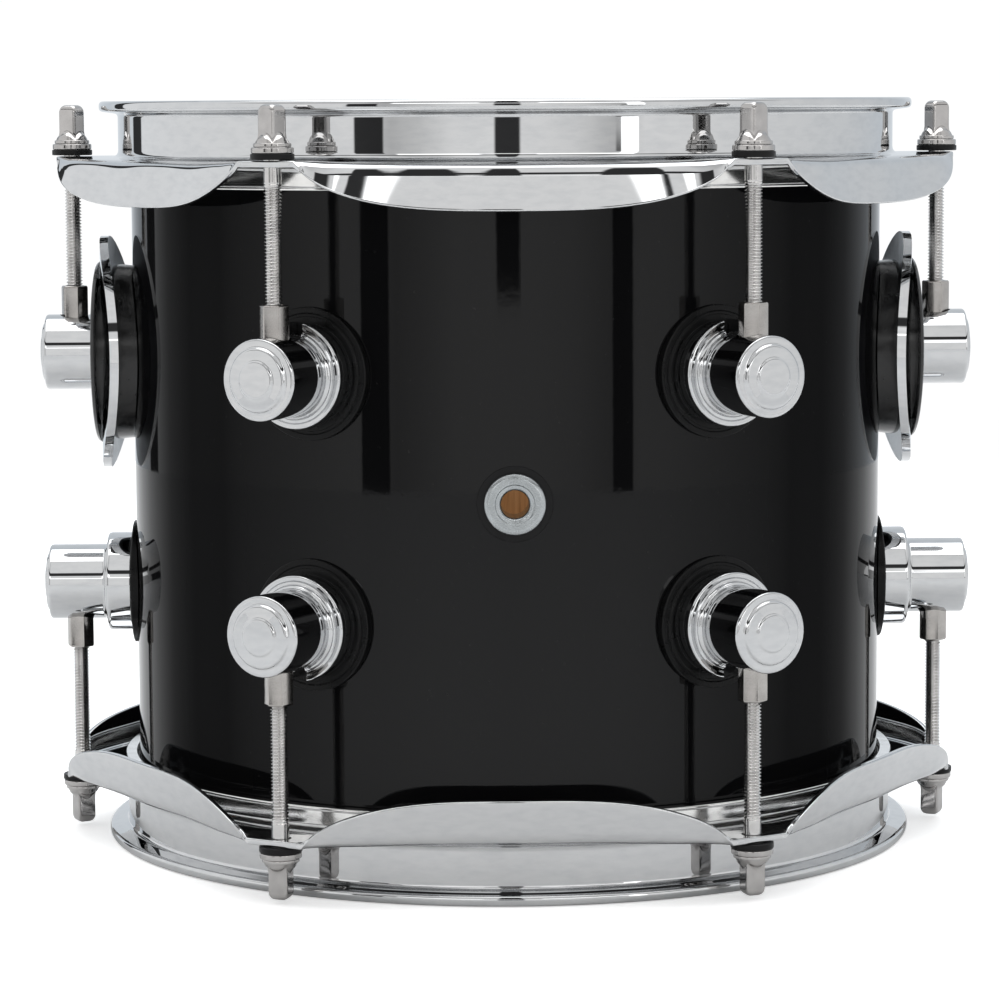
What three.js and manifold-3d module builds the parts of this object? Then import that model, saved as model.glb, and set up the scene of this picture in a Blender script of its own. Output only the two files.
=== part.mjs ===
// Rack tom: a gloss shell with two heads, two flanged steel hoops, twelve turret lugs with swivel
// nuts, twelve tension rods, and a suspension mount hung from the two side lugs of the upper row.
// Millimetres, +Z up along the shell's axis, front (the vent) towards -Y, mount bracket towards +Y.
// The origin is the centre of the resonant (lower) head's outer face.

import * as THREE from 'three';
import { mergeVertices } from 'three/addons/utils/BufferGeometryUtils.js';
import Module from 'manifold-3d';

const wasm = await Module();
wasm.setup();

// ---- driving dimensions ----
const GAP = 0.3;                       // running or seating gap left between separate pieces
const JOIN = 2;                        // how far joined solids run into each other
const CUT_REACH = 170;                 // how far a cutting solid runs, past anything it cuts
const CUT_SEGMENTS = 72;

const SHELL = { radius: 125.5, wall: 7, depth: 213, edge: 1.6, innerEdge: 5 };
const FILM = { thickness: 0.4, collarDepth: 9.5, corner: 1 };
const FLESH = { wall: 3.8, top: 102.6, bottom: 95.5 };   // heights from the mid plane

const HOOP = {
  inner: 127.6, band: 129.6, rim: 135.8, rimTop: 123.1, rimThick: 3.3,
  earPlane: 104.9, sheet: 2, fillet: 2, earRadius: 150.1, wingRadius: 139.3,
  wingDrop: 14.2, crestDrop: 1.1, corner: 3.6, innerCorner: 0.8, lean: 1.8, earHalfAngle: 4.1,
  dropPower: 3.3, dropEase: 0.645, flareEase: 3, flarePower: 2.3, rimCorner: 0.9, lipDraft: 1.2,
};
const STATIONS = 6;                    // lugs in each row
const STATION_ANGLE = 360 / STATIONS;

const ROD = { circle: 145.5, radius: 2.75, hole: 3.4, end: 35.5 };
const HEAD = { top: 121.9, cornerRadius: 4.4, crown: 1.4 };
const WASHERS = { blackRadius: 6.7, blackThick: 1.9, metalRadius: 6.5, metalThick: 1.9 };
const COLLAR = { radius: 5.8, thick: 1.1 };
const NUT = { acrossFlats: 8, bore: 3.3, foot: 40.5, top: 61.4 };

const LUG = {
  height: 39.1,                        // lug axis above the mid plane
  seat: 127, flangeFront: 134.2, collarFront: 135.3, neck: 136.3, faceEdge: 154.5, face: 155.2,
  step: 156.3, boss: 156.9,            // distances from the shell's axis
  flangeRadius: 16.6, collarRadius: 15.5, turretRadius: 12.6,
  stepRadius: 9.6, bossRadius: 5.6, nutWell: 5.2, chamfer: 0.7,
  notchWidth: 7.2, notchDepth: 4.4, notchBack: 125,
};
const STUD = { radius: 3, inner: 112.8, headRadius: 5.5, hole: 3.4 };
const GASKET = { radius: 20.7, edge: 0.4 };
const GROMMET = { radius: 30.7, neck: 24.7, outer: 138, recess: 16.9, edge: 1.2 };

const BAND = {
  inner: 133.5, outer: 136.3, eyelet: 39, hole: 25, stripLow: 23,
  stubHalf: 12, riserFrom: 58, riserTo: 76,
  padHalf: 26, padLow: -34, padCorner: 10,
};
const BRACKET = {
  plateHalf: 21, plateReach: 28, plateCorner: 6, plateFront: 145, height: 20,
  bossRadius: 14, bossCentre: 158, bossHalf: 19, rodHole: 6.6,
  slotHalf: 5, slotEnd: 169, nutRadius: 8, nutEnd: 177,
};
const JAW = { halfWidth: 4.6, halfHeight: 9, back: 165.5, front: 168.7 };
const WING = {
  shank: 3, tip: 169, hubStart: 177.4, hubRadius: 6.5, hubEnd: 187,
  reach: 15, bladeFrom: 181, bladeTo: 189, tipCentre: 187, tipRadius: 5, thick: 4.6,
};
const VENT = {
  flange: 9.5, rim: 126.7, face: 127.7, bore: 4.3, barrel: 5.4, hole: 5.8, nutRadius: 8, nutBack: 113.6,
};

const HALF_DEPTH = SHELL.depth / 2;
const FILM_TOP = HALF_DEPTH + GAP + FILM.thickness;
const SHELL_INSIDE = SHELL.radius - SHELL.wall;
const INNER_SEAT = SHELL_INSIDE - 2 * GAP;   // where a nut or a screw's head sits inside the shell
const LUG_SEGMENTS = 12;
const DRILL_SIDES = 6;
const ROUND_SEGMENTS = 48;

// ---- shared helpers ----
const degrees = THREE.MathUtils.degToRad;

function solidOf(geometry) {
  const bare = geometry.clone();
  bare.deleteAttribute('normal');
  bare.deleteAttribute('uv');
  const merged = mergeVertices(bare, 1e-4);
  return new wasm.Manifold(new wasm.Mesh({
    numProp: 3,
    vertProperties: new Float32Array(merged.attributes.position.array),
    triVerts: new Uint32Array(merged.index.array),
  }));
}

function geometryOf(solid) {
  const mesh = solid.getMesh();
  const geometry = new THREE.BufferGeometry();
  geometry.setAttribute('position', new THREE.BufferAttribute(new Float32Array(mesh.vertProperties), 3));
  geometry.setIndex(new THREE.BufferAttribute(new Uint32Array(mesh.triVerts), 1));
  geometry.computeVertexNormals();
  return geometry;
}

// A turned solid about Z. The profile's [radius, height] points run counterclockwise.
function turned(profile, segments = ROUND_SEGMENTS) {
  const points = profile.map(([radius, height]) => new THREE.Vector2(radius, height));
  return new THREE.LatheGeometry(points, segments).rotateX(Math.PI / 2);
}

// A turned ring about Z: its profile is closed by its own first point.
function turnedRing(profile, segments = ROUND_SEGMENTS) {
  return turned([...profile, profile[0]], segments);
}

// The same, turned about +X. Profile points are [distance along X, radius].
function alongX(profile, segments, ring = false) {
  const standing = profile.map(([along, radius]) => [radius, along]);
  return (ring ? turnedRing(standing, segments) : turned(standing, segments)).rotateY(Math.PI / 2);
}

function rod(radius, from, to, segments = LUG_SEGMENTS) {
  const geometry = new THREE.CylinderGeometry(radius, radius, to - from, segments);
  return geometry.rotateX(Math.PI / 2).translate(0, 0, (from + to) / 2);
}

function rodAlongX(radius, from, to, segments = LUG_SEGMENTS) {
  return rod(radius, from, to, segments).rotateY(Math.PI / 2);
}

function rodAlongY(radius, from, to, segments = LUG_SEGMENTS) {
  return rod(radius, -to, -from, segments).rotateX(Math.PI / 2);
}

function block(x0, x1, y0, y1, z0, z1) {
  const geometry = new THREE.BoxGeometry(x1 - x0, y1 - y0, z1 - z0);
  return geometry.translate((x0 + x1) / 2, (y0 + y1) / 2, (z0 + z1) / 2);
}

const paint = {
  lacquer: new THREE.MeshStandardMaterial({ color: 0x0b0b0c, roughness: 0.08, metalness: 0 }),
  chrome: new THREE.MeshStandardMaterial({ color: 0xd9dcdf, roughness: 0.06, metalness: 1 }),
  nickel: new THREE.MeshStandardMaterial({ color: 0xb9b3ac, roughness: 0.3, metalness: 1 }),
  aluminium: new THREE.MeshStandardMaterial({ color: 0xcfcfcc, roughness: 0.35, metalness: 1 }),
  rubber: new THREE.MeshStandardMaterial({ color: 0x121212, roughness: 0.75, metalness: 0 }),
  film: new THREE.MeshStandardMaterial({ color: 0xeeeeea, roughness: 0.5, metalness: 0 }),
  zinc: new THREE.MeshStandardMaterial({ color: 0xb5bcc0, roughness: 0.3, metalness: 1 }),
};

function piece(name, geometry, material) {
  const mesh = new THREE.Mesh(geometry, material);
  mesh.name = name;
  return mesh;
}

// ---- shell ----
function shellGeometry() {
  const inner = SHELL_INSIDE;
  const peak = SHELL.radius - SHELL.edge;
  const profile = [
    [inner, -HALF_DEPTH + SHELL.innerEdge],
    [peak - 1, -HALF_DEPTH],
    [peak, -HALF_DEPTH],
    [SHELL.radius, -HALF_DEPTH + SHELL.edge],
    [SHELL.radius, HALF_DEPTH - SHELL.edge],
    [peak, HALF_DEPTH],
    [peak - 1, HALF_DEPTH],
    [inner, HALF_DEPTH - SHELL.innerEdge],
  ];
  let shell = solidOf(turnedRing(profile));
  const drill = (radius, azimuth, height) => {
    const bit = rodAlongX(radius / Math.cos(Math.PI / DRILL_SIDES), 0, CUT_REACH, DRILL_SIDES);
    shell = shell.subtract(solidOf(bit.translate(0, 0, height).rotateZ(degrees(azimuth - 90))));
  };
  for (let i = 0; i < STATIONS; i += 1) {
    const azimuth = STATION_ANGLE * (i + 0.5);
    drill(STUD.hole, azimuth, LUG.height);
    drill(STUD.hole, azimuth, -LUG.height);
  }
  drill(VENT.hole, 0, 0);
  return geometryOf(shell);
}

// ---- heads, made for the upper side ----
function filmGeometry() {
  const collar = SHELL.radius + GAP;
  const outer = collar + FILM.thickness;
  const inside = HALF_DEPTH + GAP;
  const foot = FILM_TOP - FILM.collarDepth;
  return turned([
    [0, inside],
    [collar - FILM.corner, inside],
    [collar, inside - FILM.corner],
    [collar, foot],
    [outer, foot],
    [outer, FILM_TOP - FILM.corner],
    [outer - FILM.corner, FILM_TOP],
    [0, FILM_TOP],
  ]);
}

function fleshHoopGeometry() {
  const inner = SHELL.radius + 2 * GAP + FILM.thickness;
  return turnedRing([
    [inner, FLESH.bottom],
    [inner + FLESH.wall, FLESH.bottom],
    [inner + FLESH.wall, FLESH.top],
    [inner, FLESH.top],
  ]);
}

// ---- hoop ----
// How far the flange has turned down between two ears: 0 at an ear, 1 midway to the next.
function wingShare(fromEar) {
  const u = Math.max(0, (fromEar - HOOP.earHalfAngle) / (STATION_ANGLE / 2 - HOOP.earHalfAngle));
  const drop = (1 - (1 - u) ** HOOP.dropPower) ** HOOP.dropEase;
  return { drop, flare: 1 - (1 - (1 - u) ** HOOP.flareEase) ** HOOP.flarePower };
}

// The closed section of the hoop at an angle from the nearest ear's centre, counterclockwise.
function hoopSection(fromEar) {
  const { drop, flare } = wingShare(fromEar);
  const crest = HOOP.earPlane - HOOP.crestDrop * drop;
  const edgeRadius = HOOP.wingRadius + (HOOP.earRadius - HOOP.wingRadius) * flare;
  const corner = new THREE.Vector2(edgeRadius - HOOP.lean, crest);
  const edge = new THREE.Vector2(edgeRadius, crest - HOOP.wingDrop * drop);
  const down = edge.clone().sub(corner);
  const reach = Math.min(HOOP.corner, down.length() / 2);
  down.normalize();
  const inward = new THREE.Vector2(down.y, -down.x).multiplyScalar(HOOP.sheet);
  const mitre = inward.clone().add(new THREE.Vector2(0, -HOOP.sheet)).divideScalar(1 + down.x);
  const underside = mitre.add(corner);
  const before = (at, distance) => [at.x - distance, at.y];
  const after = (at, distance) => [at.x + down.x * distance, at.y + down.y * distance];
  const middle = [corner.x + ((down.x - 1) * reach) / 4, corner.y + (down.y * reach) / 4];
  const tight = Math.max(HOOP.innerCorner, reach - HOOP.sheet);
  const bottomLine = HOOP.earPlane - HOOP.sheet;
  const lip = HOOP.rimTop - HOOP.rimThick;
  return [
    [HOOP.inner, bottomLine],
    [HOOP.band + HOOP.fillet, bottomLine],
    before(underside, tight),
    after(underside, tight),
    [edge.x + inward.x, edge.y + inward.y],
    [edge.x, edge.y],
    after(corner, reach),
    middle,
    before(corner, reach),
    [HOOP.band + HOOP.fillet, HOOP.earPlane],
    [HOOP.band, HOOP.earPlane + HOOP.fillet],
    [HOOP.band, lip - HOOP.lipDraft],
    [HOOP.rim, lip],
    [HOOP.rim, HOOP.rimTop - HOOP.rimCorner],
    [HOOP.rim - HOOP.rimCorner, HOOP.rimTop],
    [HOOP.inner, HOOP.rimTop],
  ];
}

// The hoop is a loft of those sections round the drum, drilled at each ear.
function hoopGeometry() {
  const halfSteps = [0, HOOP.earHalfAngle, 5.3, 8, 13, 20];
  const lastHalf = halfSteps.slice(1).reverse().map((angle) => STATION_ANGLE - angle);
  const steps = [...halfSteps, STATION_ANGLE / 2, ...lastHalf];
  const angles = [];
  for (let ear = 0; ear < STATIONS; ear += 1) {
    steps.forEach((step) => angles.push(STATION_ANGLE * ear + step));
  }
  const positions = [];
  const indices = [];
  let around = 0;
  angles.forEach((angle) => {
    const fromLast = angle % STATION_ANGLE;
    const section = hoopSection(Math.min(fromLast, STATION_ANGLE - fromLast));
    around = section.length;
    section.forEach(([radius, height]) => {
      positions.push(radius * Math.cos(degrees(angle)), radius * Math.sin(degrees(angle)), height);
    });
  });
  for (let i = 0; i < angles.length; i += 1) {
    const next = (i + 1) % angles.length;
    for (let j = 0; j < around; j += 1) {
      const a = i * around + j;
      const b = i * around + ((j + 1) % around);
      const c = next * around + j;
      const d = next * around + ((j + 1) % around);
      indices.push(a, c, b, b, c, d);
    }
  }
  const loft = new THREE.BufferGeometry();
  loft.setAttribute('position', new THREE.Float32BufferAttribute(positions, 3));
  loft.setIndex(indices);
  let hoop = solidOf(loft);
  for (let ear = 0; ear < STATIONS; ear += 1) {
    const bit = rod(ROD.hole, 0, CUT_REACH, 8);
    hoop = hoop.subtract(solidOf(bit.translate(ROD.circle, 0, 0).rotateZ(degrees(STATION_ANGLE * ear))));
  }
  return geometryOf(hoop);
}

// ---- lug station pieces, made for an upper station whose lug points along +X ----
function lugGeometry() {
  const body = alongX([
    [STUD.inner, 0],
    [STUD.inner, STUD.headRadius],
    [INNER_SEAT, STUD.headRadius],
    [INNER_SEAT, STUD.radius],
    [LUG.seat, STUD.radius],
    [LUG.seat, LUG.flangeRadius],
    [LUG.flangeFront, LUG.flangeRadius],
    [LUG.collarFront, LUG.collarRadius],
    [LUG.neck, LUG.turretRadius],
    [LUG.faceEdge, LUG.turretRadius],
    [LUG.face, LUG.turretRadius - LUG.chamfer],
    [LUG.face, LUG.stepRadius],
    [LUG.step, LUG.stepRadius],
    [LUG.boss, LUG.bossRadius],
    [LUG.boss, 0],
  ], LUG_SEGMENTS);
  const well = rod(LUG.nutWell, ROD.end - LUG.height - JOIN, CUT_REACH, 8).translate(ROD.circle, 0, 0);
  const half = LUG.notchWidth / 2;
  const notchFloor = LUG.flangeRadius - LUG.notchDepth;
  const notch = block(LUG.notchBack, LUG.neck, -half, half, notchFloor, LUG.flangeRadius + JOIN);
  const lug = solidOf(body).subtract(solidOf(well)).subtract(solidOf(notch));
  return geometryOf(lug).translate(0, 0, LUG.height);
}

function nutGeometry() {
  const hexRadius = NUT.acrossFlats / Math.sqrt(3);
  const hex = rod(hexRadius, NUT.foot, NUT.top, 6);
  const bore = rod(NUT.bore, 0, CUT_REACH, 8);
  return geometryOf(solidOf(hex).subtract(solidOf(bore))).translate(ROD.circle, 0, 0);
}

function tensionRodGeometry() {
  const seat = HOOP.earPlane + GAP;
  const metal = seat + WASHERS.blackThick;
  const collar = metal + WASHERS.metalThick;
  const neck = collar + COLLAR.thick;
  const base = turned([
    [0, seat],
    [WASHERS.blackRadius, seat],
    [WASHERS.blackRadius, metal],
    [WASHERS.metalRadius, collar],
    [COLLAR.radius, collar],
    [COLLAR.radius, neck],
    [0, neck],
  ], 10);
  const head = turned([
    [0, collar],
    [HEAD.cornerRadius, collar],
    [HEAD.cornerRadius, HEAD.top - HEAD.crown],
    [HEAD.cornerRadius - HEAD.crown, HEAD.top],
    [0, HEAD.top],
  ], 4);
  const thread = rod(ROD.radius, ROD.end, metal, 8);
  const joined = solidOf(base).add(solidOf(head)).add(solidOf(thread));
  return geometryOf(joined).translate(ROD.circle, 0, 0);
}

// A cutter about the drum's axis, which leaves its gap round whatever has that radius.
function clearOf(radius) {
  const flats = (radius + GAP) / Math.cos(Math.PI / CUT_SEGMENTS);
  return solidOf(rod(flats, -CUT_REACH, CUT_REACH, CUT_SEGMENTS));
}

function gasketGeometry() {
  const front = LUG.seat - GAP;
  const pad = alongX([
    [SHELL_INSIDE, STUD.hole],
    [SHELL_INSIDE, GASKET.radius],
    [front - GASKET.edge, GASKET.radius],
    [front, GASKET.radius - GASKET.edge],
    [front, STUD.hole],
  ], LUG_SEGMENTS, true).translate(0, 0, LUG.height);
  return geometryOf(solidOf(pad).subtract(clearOf(SHELL.radius)));
}

function grommetGeometry() {
  const front = LUG.seat - GAP;
  const body = alongX([
    [SHELL_INSIDE, STUD.hole],
    [SHELL_INSIDE, GROMMET.radius],
    [GROMMET.outer - GROMMET.edge, GROMMET.radius],
    [GROMMET.outer, GROMMET.radius - GROMMET.edge],
    [GROMMET.outer, GROMMET.recess],
    [front, GROMMET.recess],
    [front, STUD.hole],
  ], 20, true).translate(0, 0, LUG.height);
  const plateSpace = bandRing(BAND.inner - GAP, BAND.outer + GAP);
  const neck = solidOf(rodAlongX(GROMMET.neck, 0, CUT_REACH, 20).translate(0, 0, LUG.height));
  return geometryOf(solidOf(body).subtract(clearOf(SHELL.radius)).subtract(plateSpace.subtract(neck)));
}

// ---- suspension mount ----
function bandRing(inner, outer) {
  const ring = [[inner, -CUT_REACH], [outer, -CUT_REACH], [outer, CUT_REACH], [inner, CUT_REACH]];
  return solidOf(turnedRing(ring, CUT_SEGMENTS));
}

// A panel in the XZ plane with its two lower corners rounded, reaching from the axis out to +Y.
function roundedPanel(halfWidth, low, high, corner, reach) {
  const shape = new THREE.Shape();
  shape.moveTo(-halfWidth, high);
  shape.lineTo(-halfWidth, low + corner);
  shape.quadraticCurveTo(-halfWidth, low, -halfWidth + corner, low);
  shape.lineTo(halfWidth - corner, low);
  shape.quadraticCurveTo(halfWidth, low, halfWidth, low + corner);
  shape.lineTo(halfWidth, high);
  shape.closePath();
  const geometry = new THREE.ExtrudeGeometry(shape, { depth: reach, bevelEnabled: false, curveSegments: 4 });
  return geometry.rotateX(Math.PI / 2).translate(0, reach, 0);
}

function mountBandGeometry() {
  const ring = bandRing(BAND.inner, BAND.outer);
  const top = LUG.height + BAND.eyelet;
  const eyelets = rodAlongX(BAND.eyelet, -CUT_REACH, CUT_REACH, 28).translate(0, 0, LUG.height);
  const across = (...limits) => solidOf(block(-CUT_REACH, CUT_REACH, ...limits));
  const stubLow = LUG.height - BAND.stubHalf;
  const stub = across(0, BAND.riserTo, stubLow, LUG.height + BAND.stubHalf);
  const riser = across(BAND.riserFrom, BAND.riserTo, stubLow, top);
  const strip = across(BAND.riserFrom, CUT_REACH, LUG.height + BAND.stripLow, top);
  const pad = roundedPanel(BAND.padHalf, BAND.padLow, top - JOIN, BAND.padCorner, CUT_REACH);
  const windows = rodAlongX(BAND.hole, -CUT_REACH, CUT_REACH, 24).translate(0, 0, LUG.height);
  const outline = solidOf(eyelets).add(stub).add(riser).add(strip).add(solidOf(pad));
  return geometryOf(ring.intersect(outline).subtract(solidOf(windows)));
}

// The bracket's pieces stand about the middle of its rod clamp and are lifted to it as one group.
function bracketGeometry() {
  const { plateHalf, plateReach, plateCorner, plateFront, bossRadius, bossCentre, bossHalf } = BRACKET;
  const plate = roundedPanel(plateHalf, -plateReach, plateReach, plateCorner, plateFront);
  const boss = rod(bossRadius, -bossHalf, bossHalf, 24).translate(0, bossCentre, 0);
  const web = block(-bossRadius, bossRadius, plateFront - JOIN, bossCentre, -bossHalf, bossHalf);
  const nutBoss = rodAlongY(BRACKET.nutRadius, bossCentre, BRACKET.nutEnd, 16);
  const bore = rod(BRACKET.rodHole, -CUT_REACH, CUT_REACH, 20).translate(0, bossCentre, 0);
  const slotFoot = -JAW.halfHeight - GAP;
  const slot = block(-BRACKET.slotHalf, BRACKET.slotHalf, bossCentre, BRACKET.slotEnd, slotFoot, CUT_REACH);
  const thread = rodAlongY(WING.shank + GAP, bossCentre, BRACKET.nutEnd + JOIN, 12);
  const joined = solidOf(plate).add(solidOf(boss)).add(solidOf(web)).add(solidOf(nutBoss));
  const cuts = [...[bore, slot, thread].map(solidOf), clearOf(BAND.outer)];
  return geometryOf(cuts.reduce((left, cut) => left.subtract(cut), joined));
}

function wingBoltGeometry() {
  const shank = rodAlongY(WING.shank, WING.tip, WING.hubStart + JOIN, 10);
  const hub = rodAlongY(WING.hubRadius, WING.hubStart, WING.hubEnd, 14);
  const blade = block(-WING.reach, WING.reach, WING.bladeFrom, WING.bladeTo, -WING.thick / 2, WING.thick / 2);
  let bolt = solidOf(shank).add(solidOf(hub)).add(solidOf(blade));
  [-1, 1].forEach((side) => {
    const tip = rod(WING.tipRadius, -WING.thick / 2, WING.thick / 2, 14);
    bolt = bolt.add(solidOf(tip.translate(side * WING.reach, WING.tipCentre, 0)));
  });
  return geometryOf(bolt);
}

// ---- vent grommet, turned about -Y ----
function ventGeometry() {
  const seat = SHELL.radius + GAP;
  return alongX([
    [VENT.nutBack, VENT.bore],
    [VENT.nutBack, VENT.nutRadius],
    [INNER_SEAT, VENT.nutRadius],
    [INNER_SEAT, VENT.barrel],
    [seat, VENT.barrel],
    [seat, VENT.flange],
    [VENT.rim, VENT.flange],
    [VENT.face, VENT.flange - 1],
    [VENT.face, VENT.bore],
  ], 16, true);
}

// ---- assembly ----
const tom = new THREE.Group();
const drum = new THREE.Group();        // everything, measured from the shell's mid plane
drum.position.z = FILM_TOP;
tom.add(drum);

drum.add(piece('shell', shellGeometry(), paint.lacquer));

const geometry = {
  film: filmGeometry(),
  flesh: fleshHoopGeometry(),
  hoop: hoopGeometry(),
  lug: lugGeometry(),
  nut: nutGeometry(),
  tensionRod: tensionRodGeometry(),
  gasket: gasketGeometry(),
  grommet: grommetGeometry(),
};

// Azimuths are measured from the front, towards the right.
const PLACES = {
  front_right: 30, right: 90, back_right: 150, back_left: 210, left: 270, front_left: 330,
};

// The lower half is the upper one turned over about the X axis, so its azimuths run from the back.
function addHalf(side, upper) {
  const half = new THREE.Group();
  half.rotation.x = upper ? 0 : Math.PI;
  half.add(piece(`${side}_head_film`, geometry.film, paint.film));
  half.add(piece(`${side}_flesh_hoop`, geometry.flesh, paint.aluminium));
  half.add(piece(`${upper ? 'top' : 'bottom'}_hoop`, geometry.hoop, paint.chrome));
  Object.entries(PLACES).forEach(([place, azimuth]) => {
    const station = new THREE.Group();
    station.rotation.z = degrees((upper ? azimuth : 180 - azimuth) - 90);
    const row = upper ? 'upper' : 'lower';
    const carriesMount = upper && (place === 'left' || place === 'right');
    station.add(piece(`${row}_lug_${place}`, geometry.lug, paint.chrome));
    station.add(piece(`${row}_swivel_nut_${place}`, geometry.nut, paint.nickel));
    station.add(piece(`${row}_tension_rod_${place}`, geometry.tensionRod, paint.nickel));
    station.add(carriesMount
      ? piece(`mount_grommet_${place}`, geometry.grommet, paint.rubber)
      : piece(`${row}_lug_gasket_${place}`, geometry.gasket, paint.rubber));
    half.add(station);
  });
  drum.add(half);
}

addHalf('batter', true);
addHalf('resonant', false);

const vent = piece('vent_grommet', ventGeometry(), paint.zinc);
vent.rotation.z = -Math.PI / 2;
drum.add(vent);

drum.add(piece('mount_band', mountBandGeometry(), paint.chrome));

const bracket = new THREE.Group();
bracket.position.z = BRACKET.height;
const jawHeight = JAW.halfHeight;
const jaw = block(-JAW.halfWidth, JAW.halfWidth, JAW.back, JAW.front, -jawHeight, jawHeight);
bracket.add(piece('mount_bracket', bracketGeometry(), paint.chrome));
bracket.add(piece('clamp_jaw', jaw, paint.nickel));
bracket.add(piece('wing_bolt', wingBoltGeometry(), paint.chrome));
drum.add(bracket);

export default tom;
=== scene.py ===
import math

import bpy
from mathutils import Matrix, Vector


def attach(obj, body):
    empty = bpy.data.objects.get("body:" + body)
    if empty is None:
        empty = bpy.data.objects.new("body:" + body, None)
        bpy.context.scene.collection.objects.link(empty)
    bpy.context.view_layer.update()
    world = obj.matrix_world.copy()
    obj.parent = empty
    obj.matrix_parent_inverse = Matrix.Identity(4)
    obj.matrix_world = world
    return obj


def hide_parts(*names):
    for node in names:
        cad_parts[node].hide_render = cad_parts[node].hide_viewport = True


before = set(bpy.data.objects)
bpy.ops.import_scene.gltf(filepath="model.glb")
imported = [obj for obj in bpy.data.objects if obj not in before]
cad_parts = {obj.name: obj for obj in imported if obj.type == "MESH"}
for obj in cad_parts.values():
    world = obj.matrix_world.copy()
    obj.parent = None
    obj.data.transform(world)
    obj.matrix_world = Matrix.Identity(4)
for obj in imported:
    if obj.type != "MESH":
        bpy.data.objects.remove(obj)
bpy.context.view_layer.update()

# ---- dimensions in mm: radii from the shell's axis, heights from the shell's mid plane ----
MM = 0.001
MID = 107.2                            # the mid plane above the origin
SHELL_RADIUS = 125.5
SHELL_INSIDE = 118.5
HALF_DEPTH = 106.5
STATION_ANGLE = 60
PLACES = {
    "front_right": 30, "right": 90, "back_right": 150,
    "back_left": 210, "left": 270, "front_left": 330,
}
HOOP = {
    "inner": 127.6, "band": 129.6, "rim": 135.8, "top": 123.1, "lip": 119.8, "ear_plane": 104.9,
    "sheet": 2.0, "ear_radius": 150.1, "wing_radius": 139.3, "wing_drop": 14.2, "crest_drop": 1.1,
    "corner": 3.6, "lean": 1.8, "ear_half_angle": 4.1, "drop_power": 3.3, "drop_ease": 0.645,
    "flare_ease": 3, "flare_power": 2.3,
}
ROD_CIRCLE = 145.5
ROD_RADIUS = 2.75
ROD_HOLE = 3.4
THREAD = {"pitch": 1.06, "depth": 0.6, "low": 59.0, "high": 98.2}
WASHER_FOOT = 105.2
METAL_FOOT = 107.1
COLLAR_FOOT = 109.0
HEAD_FOOT = 110.1
HEAD_TOP = 121.9
NUT = {"flats": 8.0, "bore": 3.1, "foot": 40.5, "top": 61.4}
LUG_HEIGHT = 39.1
LUG_SEAT = 126.7
EYELET = {"radius": 39.0, "hole": 25.0, "inner": 133.5, "outer": 136.3}
BRACKET_HEIGHT = 20.0
BRACKET_AXIS = 158.0
VENT_HOLE = 5.8
WELL_RADIUS = 5.1
FLOOR_HEIGHT = MID - HOOP["top"]

# ---- camera ----
camera = bpy.data.objects.new("camera", bpy.data.cameras.new("camera"))
bpy.context.scene.collection.objects.link(camera)
bpy.context.scene.camera = camera
camera.data.lens = 130.7
camera.data.sensor_width = 36
camera.data.clip_start, camera.data.clip_end = 0.05, 50
camera.location = (-0.02365, -1.2275, 0.2292)
YAW, PITCH, ROLL = (math.radians(angle) for angle in (0.992, 6.248, 0.313))
aim = Matrix.Rotation(-YAW, 3, "Z") @ Matrix.Rotation(math.pi / 2 - PITCH, 3, "X")
camera.rotation_euler = (aim @ Matrix.Rotation(-ROLL, 3, "Z")).to_euler()


# ---- shader building ----
class Graph:
    """A short way to write a node tree."""

    def __init__(self, tree):
        self.tree = tree

    def node(self, kind, inputs=None, **settings):
        made = self.tree.nodes.new(kind)
        for key, value in settings.items():
            setattr(made, key, value)
        for key, value in (inputs or {}).items():
            if isinstance(value, bpy.types.NodeSocket):
                self.tree.links.new(value, made.inputs[key])
            else:
                made.inputs[key].default_value = value
        return made

    def math(self, operation, a, b=0.0):
        return self.node("ShaderNodeMath", {0: a, 1: b}, operation=operation).outputs[0]

    def remap(self, value, low, high, to_low=0.0, to_high=1.0, smooth=False):
        kind = "SMOOTHSTEP" if smooth else "LINEAR"
        inputs = {"Value": value, "From Min": low, "From Max": high, "To Min": to_low, "To Max": to_high}
        return self.node("ShaderNodeMapRange", inputs, interpolation_type=kind).outputs[0]

    def mix(self, factor, a, b):
        made = self.node("ShaderNodeMix", data_type="RGBA")
        for socket, value in ((made.inputs[0], factor), (made.inputs[6], a), (made.inputs[7], b)):
            if isinstance(value, bpy.types.NodeSocket):
                self.tree.links.new(value, socket)
            else:
                socket.default_value = value
        return made.outputs[2]

    def ramp(self, value, stops):
        made = self.node("ShaderNodeValToRGB", {0: value})
        elements = made.color_ramp.elements
        while len(elements) < len(stops):
            elements.new(0.5)
        for element, (position, colour) in zip(elements, sorted(stops)):
            element.position = position
            element.color = colour if isinstance(colour, tuple) else (colour, colour, colour, 1)
        return made.outputs[0]

    def place(self, stretch=(1, 1, 1)):
        """Object coordinates in mm, stretched along each axis."""
        coords = self.node("ShaderNodeTexCoord").outputs["Object"]
        scale = [s / MM for s in stretch]
        return self.node("ShaderNodeMapping", {0: coords, "Scale": scale}).outputs[0]

    def noise(self, size, detail=3.0, stretch=(1, 1, 1), rough=0.5):
        """Noise with features of about this size in mm."""
        inputs = {"Vector": self.place(stretch), "Scale": 1 / size, "Detail": detail, "Roughness": rough}
        return self.node("ShaderNodeTexNoise", inputs).outputs[0]

    def bump(self, height, depth):
        """A bump from a 0 to 1 height, with its depth in mm."""
        inputs = {"Height": height, "Distance": depth * MM, "Strength": 1.0}
        return self.node("ShaderNodeBump", inputs).outputs[0]

    def within(self, value, low, high, soft):
        """1 from low to high, fading to 0 over soft on either side."""
        risen = self.remap(value, low - soft, low, smooth=True)
        return self.math("MULTIPLY", risen, self.remap(value, high, high + soft, 1, 0, smooth=True))


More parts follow.
